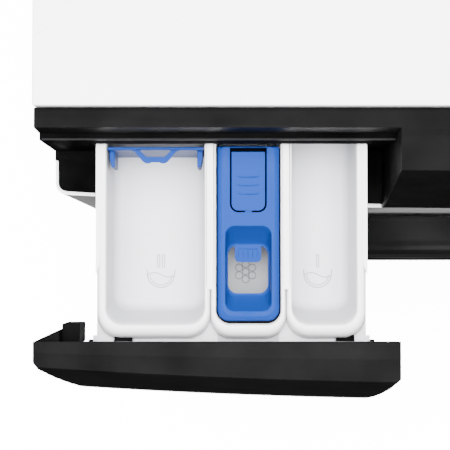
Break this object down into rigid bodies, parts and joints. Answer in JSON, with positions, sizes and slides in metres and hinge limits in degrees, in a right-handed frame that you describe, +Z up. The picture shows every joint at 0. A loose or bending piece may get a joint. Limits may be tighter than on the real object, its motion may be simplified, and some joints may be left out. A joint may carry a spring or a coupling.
{
  "type": "front load washing machine",
  "caption": "Free-standing front-loading washing machine with a bowed front, round door, belt-driven drum and a detergent drawer pulled out.",
  "frame": {"origin": "on the floor under the middle of the whole machine's box, drawer pulled out", "axes": "+X to the right of a person facing the door, +Y towards the rear, +Z up"},
  "size_m": [0.598, 0.6928, 0.848],
  "materials": {
    "enamel": "glossy white enamel",
    "worktop_laminate": "white laminate over chipboard",
    "zinc_steel": "zinc-coated",
    "black_fascia": "satin black moulding",
    "door_black": "polished black moulding",
    "silver_trim": "bright metallic trim",
    "white_plastic": "smooth white moulding",
    "panel_plastic": "white moulding matched to the enamel",
    "insert_blue": "smooth blue moulding",
    "smoked_glass": "smoked, polished",
    "bowl_glass": "clear pressed glass",
    "grey_rubber": "matt",
    "drum_steel": "stainless, pressed",
    "grey_plastic": "glass-filled moulding",
    "dark_plastic": "moulded",
    "weight_concrete": "cast concrete",
    "cast_aluminium": "as cast"
  },
  "bodies": {
    "cabinet": {"worktop": "worktop_laminate", "left_side_panel": "enamel", "right_side_panel": "enamel", "front_panel": "enamel", "rear_panel": "zinc_steel", "base": "grey_plastic", "foot_front_left": "dark_plastic", "foot_front_right": "dark_plastic", "foot_rear_left": "dark_plastic", "foot_rear_right": "dark_plastic", "fascia_panel": "black_fascia", "display_window": "smoked_glass", "dispenser_housing": "white_plastic", "dispenser_hose": "grey_rubber", "inlet_valve": "dark_plastic", "hinge_bracket": "zinc_steel", "hinge_pin": "zinc_steel", "door_lock": "dark_plastic", "door_seal": "grey_rubber", "tub_front": "grey_plastic", "tub_rear": "grey_plastic", "counterweight": "weight_concrete", "front_bearing": "zinc_steel", "rear_bearing": "zinc_steel", "motor": "dark_plastic", "drive_belt": "grey_rubber", "heater": "zinc_steel", "suspension_spring_left": "zinc_steel", "suspension_spring_right": "zinc_steel", "damper_left": "zinc_steel", "damper_right": "zinc_steel", "drain_pump": "grey_plastic"},
    "drawer": {"drawer_front": "black_fascia", "drawer_trim": "silver_trim", "dispenser_tray": "white_plastic", "drawer_clip_left": "dark_plastic", "drawer_clip_right": "dark_plastic"},
    "softener_insert_body": {"softener_insert": "insert_blue"},
    "tongue": {"release_tongue": "insert_blue"},
    "liquid_insert_body": {"liquid_insert": "insert_blue"},
    "door": {"door_outer_ring": "door_black", "door_inner_ring": "dark_plastic", "door_glass": "bowl_glass", "door_cover": "smoked_glass", "hinge_leaf": "zinc_steel"},
    "hook": {"door_hook": "zinc_steel"},
    "knob": {"programme_knob": "silver_trim"},
    "button_1": {"option_button_1": "black_fascia"},
    "button_2": {"option_button_2": "black_fascia"},
    "start": {"start_button": "silver_trim"},
    "drum": {"drum_shell": "drum_steel", "drum_back": "drum_steel", "drum_paddle_1": "white_plastic", "drum_paddle_2": "white_plastic", "drum_paddle_3": "white_plastic", "drum_spider": "cast_aluminium", "drum_pulley": "cast_aluminium"},
    "rotor": {"motor_pulley": "zinc_steel"},
    "filter_cap": {"pump_filter_cap": "dark_plastic"},
    "flap": {"service_flap": "panel_plastic"}
  },
  "joints": [
    {"name": "drawer_slide", "type": "slide", "parent": "cabinet", "child": "drawer", "axis": [0, 1, 0], "range_m": [0, 0.134]},
    {"name": "softener_insert_lift", "type": "slide", "parent": "drawer", "child": "softener_insert_body", "axis": [0, 0, -1], "range_m": [-0.06, 0]},
    {"name": "tongue_press", "type": "hinge", "parent": "softener_insert_body", "child": "tongue", "pos_m": [-0.163, -0.1783, 0.799], "axis": [1, 0, 0], "range_deg": [0, 7], "stiffness_Nm_per_rad": 0.2},
    {"name": "liquid_insert_lift", "type": "slide", "parent": "drawer", "child": "liquid_insert_body", "axis": [0, 0, -1], "range_m": [-0.05, 0]},
    {"name": "door_swing", "type": "hinge", "parent": "cabinet", "child": "door", "pos_m": [-0.24, -0.2225, 0.43], "axis": [0, 0, -1], "range_deg": [0, 150]},
    {"name": "hook_release", "type": "hinge", "parent": "door", "child": "hook", "pos_m": [0.202, -0.2215, 0.43], "axis": [0, 0, 1], "range_deg": [0, 9], "stiffness_Nm_per_rad": 0.6},
    {"name": "knob_turn", "type": "hinge", "parent": "cabinet", "child": "knob", "pos_m": [0.01, -0.2105, 0.786], "axis": [0, -1, 0], "continuous": true},
    {"name": "button_1_press", "type": "slide", "parent": "cabinet", "child": "button_1", "axis": [0, 1, 0], "range_m": [0, 0.0012], "stiffness_N_per_m": 600},
    {"name": "button_2_press", "type": "slide", "parent": "cabinet", "child": "button_2", "axis": [0, 1, 0], "range_m": [0, 0.0012], "stiffness_N_per_m": 600},
    {"name": "start_press", "type": "slide", "parent": "cabinet", "child": "start", "axis": [0, 1, 0], "range_m": [0, 0.0012], "stiffness_N_per_m": 600},
    {"name": "drum_spin", "type": "hinge", "parent": "cabinet", "child": "drum", "pos_m": [0, 0.0395, 0.43], "axis": [0, -1, 0], "continuous": true},
    {"name": "rotor_spin", "type": "hinge", "parent": "cabinet", "child": "rotor", "pos_m": [0.095, 0.2935, 0.105], "axis": [0, -1, 0], "continuous": true},
    {"name": "filter_cap_turn", "type": "hinge", "parent": "cabinet", "child": "filter_cap", "pos_m": [0.19, -0.1805, 0.077], "axis": [0, -1, 0], "range_deg": [0, 170]},
    {"name": "flap_drop", "type": "hinge", "parent": "cabinet", "child": "flap", "pos_m": [0.19, -0.202, 0.03], "axis": [1, 0, 0], "range_deg": [0, 85]}
  ],
  "couplings": [
    {"joint": "rotor_spin", "follows": "drum_spin", "ratio": 13}
  ]
}
